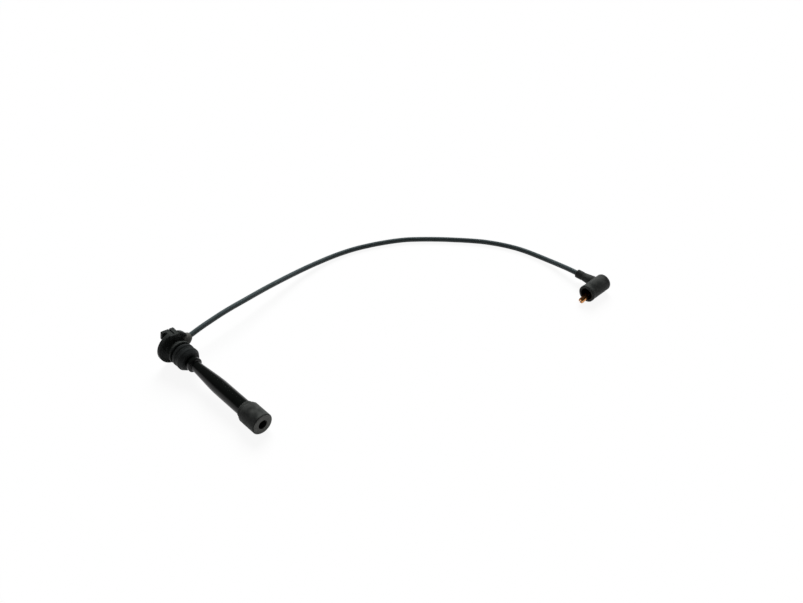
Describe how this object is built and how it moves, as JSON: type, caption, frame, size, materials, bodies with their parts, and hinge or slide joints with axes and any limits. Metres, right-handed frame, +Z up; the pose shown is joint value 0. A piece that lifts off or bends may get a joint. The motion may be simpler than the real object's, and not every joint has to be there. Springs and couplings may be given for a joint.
{
  "type": "spark plug wire",
  "caption": "Ignition lead with a long well-type plug connector, a flexible high-tension cable and a right-angle coil boot with a split brass terminal.",
  "frame": {"origin": "on the floor under the middle of the two rigid ends' bounding box, the cable left out", "axes": "+Z up from the floor the lead lies on, +Y from the plug end towards the coil end, +X along the plug connector from its well cap to its boot"},
  "size_m": [0.3308, 0.5217, 0.0443],
  "materials": {
    "cap_plastic": "satin black moulding",
    "boot_rubber": "satin dark grey",
    "tube_plastic": "glossy black moulding",
    "cable_jacket": "smooth dark grey silicone",
    "terminal_brass": "bright formed sheet",
    "contact_steel": "drawn wire"
  },
  "bodies": {
    "root": {"well_cap": "cap_plastic", "exit_collar": "boot_rubber", "head_terminal": "terminal_brass", "well_seal": "boot_rubber", "extension_tube": "tube_plastic", "contact_spring": "contact_steel", "contact_rod": "contact_steel", "plug_terminal": "terminal_brass", "terminal_snap_ring": "contact_steel", "plug_boot": "boot_rubber", "coil_boot": "boot_rubber", "coil_terminal": "terminal_brass", "cable": "cable_jacket"}
  },
  "joints": []
}
